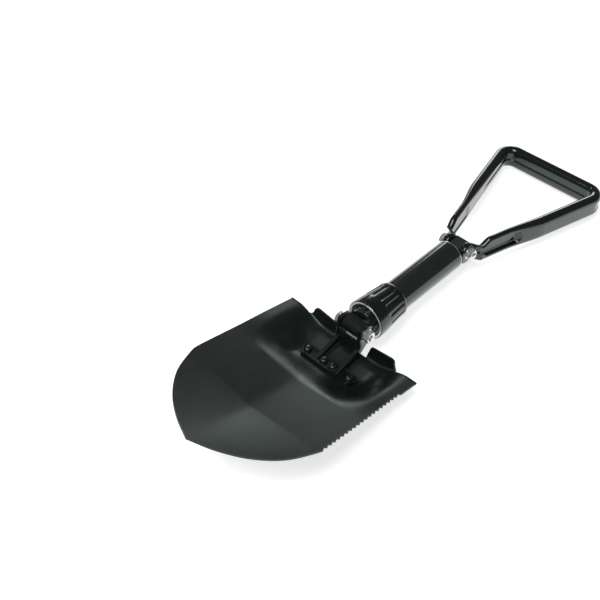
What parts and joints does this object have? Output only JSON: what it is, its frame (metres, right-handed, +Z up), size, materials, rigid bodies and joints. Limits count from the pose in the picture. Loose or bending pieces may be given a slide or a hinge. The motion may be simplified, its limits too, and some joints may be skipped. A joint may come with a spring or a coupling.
{
  "type": "folding camp shovel",
  "caption": "Folding steel camp shovel with a pointed, saw-edged blade on a hinge, a fluted screw collar that locks it, a short tube and a folding triangular D-handle.",
  "frame": {"origin": "centre of the bounding box in plan, on the floor the shovel lies on", "axes": "+Z up from the floor. +X along the shovel from the blade's tip to the grip. +Y to the left when looking from the tip to the grip, so the saw edge is on -Y. The blade's hollow side faces +Z."},
  "size_m": [0.5166, 0.1539, 0.0599],
  "materials": {
    "blade_paint": "satin black enamel, slightly orange-peeled, worn at the cutting edges",
    "black_paint": "semi-gloss black enamel",
    "black_gloss": "gloss black enamel",
    "dark_steel": "oiled black oxide on steel, semi-gloss",
    "zinc": "bright zinc plate, slightly uneven",
    "bright_ring": "bright turned steel"
  },
  "bodies": {
    "shaft": {"shaft_tube": "black_gloss", "tube_end_ring": "zinc", "threaded_knuckle": "dark_steel", "knuckle_stop_ring": "dark_steel", "knuckle_cross_pin": "dark_steel", "handle_yoke": "dark_steel"},
    "blade": {"blade": "blade_paint", "hinge_bracket": "black_paint", "bracket_rivets": "dark_steel", "blade_pivot_bolt": "zinc", "blade_pivot_nut": "zinc", "blade_pivot_washers": "zinc"},
    "handle": {"d_handle": "black_gloss", "handle_pivot_bolt": "zinc", "handle_pivot_nut": "zinc", "handle_pivot_washers": "zinc"},
    "collar_ring": {"collar_thrust_ring": "bright_ring"},
    "collar": {"collar_shell": "black_gloss", "collar_threaded_insert": "dark_steel"}
  },
  "joints": [
    {"name": "blade_hinge", "type": "hinge", "parent": "shaft", "child": "blade", "pos_m": [-0.06335, 0, 0.0283], "axis": [0, 1, 0], "range_deg": [-9, 168]},
    {"name": "handle_hinge", "type": "hinge", "parent": "shaft", "child": "handle", "pos_m": [0.08684, 0, 0.02261], "axis": [0, -1, 0], "range_deg": [0, 180.7]},
    {"name": "collar_slide", "type": "slide", "parent": "shaft", "child": "collar_ring", "axis": [-0.9993, 0, 0.0379], "range_m": [0, 0.0086]},
    {"name": "collar_spin", "type": "hinge", "parent": "collar_ring", "child": "collar", "pos_m": [-0.06346, 0, 0.0253], "axis": [-0.9993, 0, 0.0379], "range_deg": [0, 1020]}
  ],
  "couplings": [
    {"joint": "collar_slide", "follows": "collar_spin", "m_per_rad": 0.00047746}
  ]
}
